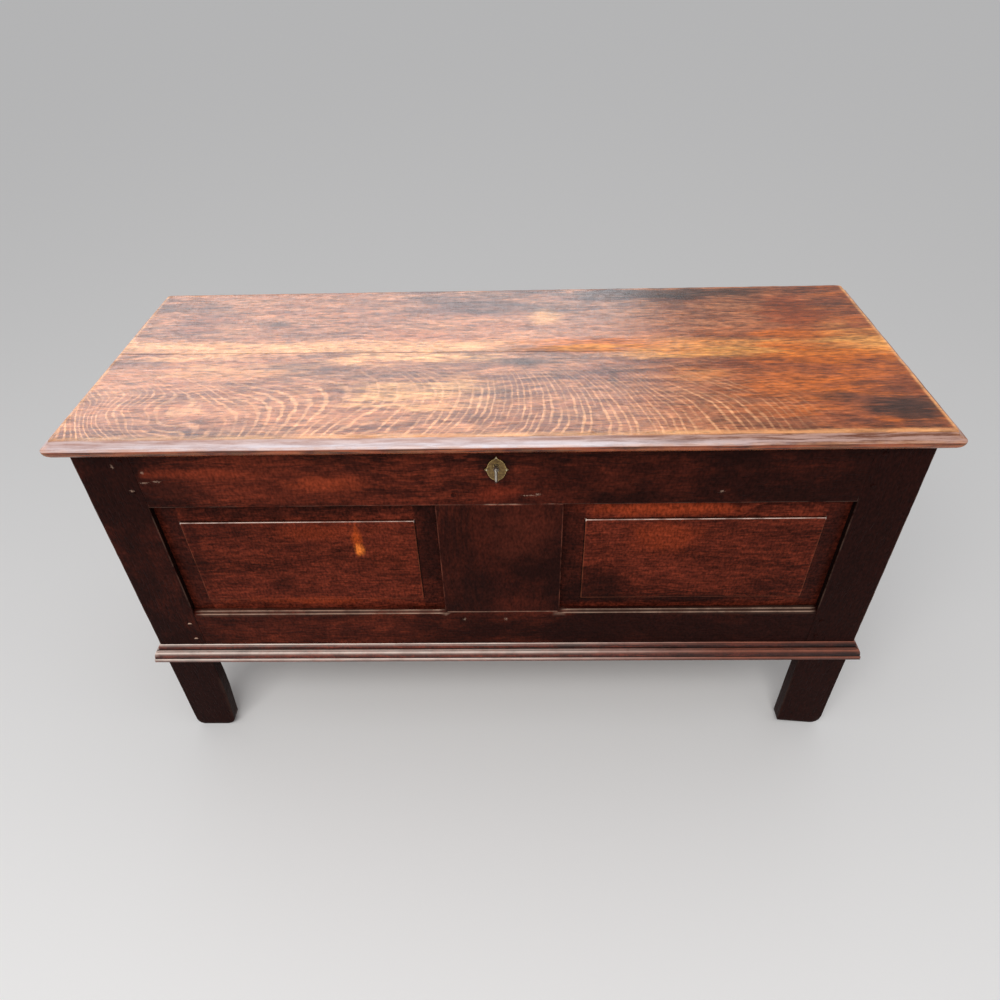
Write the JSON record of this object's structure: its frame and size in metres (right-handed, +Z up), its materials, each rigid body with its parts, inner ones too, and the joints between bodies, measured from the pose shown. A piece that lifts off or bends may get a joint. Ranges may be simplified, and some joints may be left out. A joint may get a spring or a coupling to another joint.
{
  "type": "wooden coffer",
  "caption": "Long oak coffer on stile feet: pegged frame and panel chest with a hinged two-board lid, moulded base, brass keyhole plate and a lock worked by the key in it.",
  "frame": {"origin": "on the floor, under the middle of the whole object's box with the lid shut and the key in the lock", "axes": "+X along the coffer to the right as seen from the front, +Y from the front to the back, +Z up"},
  "size_m": [1.168, 0.455, 0.6393],
  "materials": {
    "dark_oak": "dark red-brown waxed oak",
    "panel_oak": "red-brown waxed oak",
    "lid_oak": "worn and polished brown oak",
    "raw_oak": "unfinished oak",
    "peg_oak": "end grain of riven oak",
    "forged_iron": "dark forged iron",
    "old_brass": "aged brass",
    "key_steel": "worn bright steel"
  },
  "bodies": {
    "carcass": {"front_left_stile": "dark_oak", "front_right_stile": "dark_oak", "front_top_rail": "dark_oak", "front_bottom_rail": "dark_oak", "front_muntin": "dark_oak", "back_left_stile": "dark_oak", "back_right_stile": "dark_oak", "back_top_rail": "dark_oak", "back_bottom_rail": "dark_oak", "back_muntin": "dark_oak", "left_top_rail": "dark_oak", "left_bottom_rail": "dark_oak", "right_top_rail": "dark_oak", "right_bottom_rail": "dark_oak", "base_moulding_front": "dark_oak", "base_moulding_left": "dark_oak", "base_moulding_right": "dark_oak", "front_left_panel": "panel_oak", "front_right_panel": "panel_oak", "back_left_panel": "panel_oak", "back_right_panel": "panel_oak", "left_panel": "panel_oak", "right_panel": "panel_oak", "peg_left_bottom_lower": "peg_oak", "peg_left_bottom_upper": "peg_oak", "peg_left_top_lower": "peg_oak", "peg_left_top_upper": "peg_oak", "peg_right_bottom_lower": "peg_oak", "peg_right_bottom_upper": "peg_oak", "peg_right_top_lower": "peg_oak", "peg_right_top_upper": "peg_oak", "peg_muntin_bottom": "peg_oak", "peg_muntin_top": "peg_oak", "floor_board_1": "raw_oak", "floor_board_2": "raw_oak", "floor_board_3": "raw_oak", "floor_board_4": "raw_oak", "floor_board_5": "raw_oak", "left_hinge_leaf": "forged_iron", "right_hinge_leaf": "forged_iron", "left_hinge_pin": "forged_iron", "right_hinge_pin": "forged_iron", "lock_plate": "forged_iron", "lock_cap": "forged_iron", "bolt_spring": "forged_iron", "escutcheon": "old_brass"},
    "lid": {"lid_front_board": "lid_oak", "lid_back_board": "lid_oak", "lid_batten_left": "raw_oak", "lid_batten_right": "raw_oak", "batten_nail_left_front": "forged_iron", "batten_nail_left_back": "forged_iron", "batten_nail_right_front": "forged_iron", "batten_nail_right_back": "forged_iron", "left_hinge_strap": "forged_iron", "right_hinge_strap": "forged_iron", "lid_staple": "forged_iron"},
    "key": {"key": "key_steel"},
    "lock_bolt": {"lock_bolt": "forged_iron"}
  },
  "joints": [
    {"name": "lid_hinge", "type": "hinge", "parent": "carcass", "child": "lid", "pos_m": [0, 0.2123, 0.6115], "axis": [-1, 0, 0], "range_deg": [0, 108]},
    {"name": "key_turn", "type": "hinge", "parent": "carcass", "child": "key", "pos_m": [-0.002, -0.182, 0.5865], "axis": [0, 1, 0], "range_deg": [0, 360]},
    {"name": "bolt_slide", "type": "slide", "parent": "carcass", "child": "lock_bolt", "axis": [1, 0, 0], "range_m": [0, 0.014]}
  ],
  "couplings": [
    {"joint": "bolt_slide", "follows": "key_turn", "m_per_rad": 0.0022282}
  ]
}
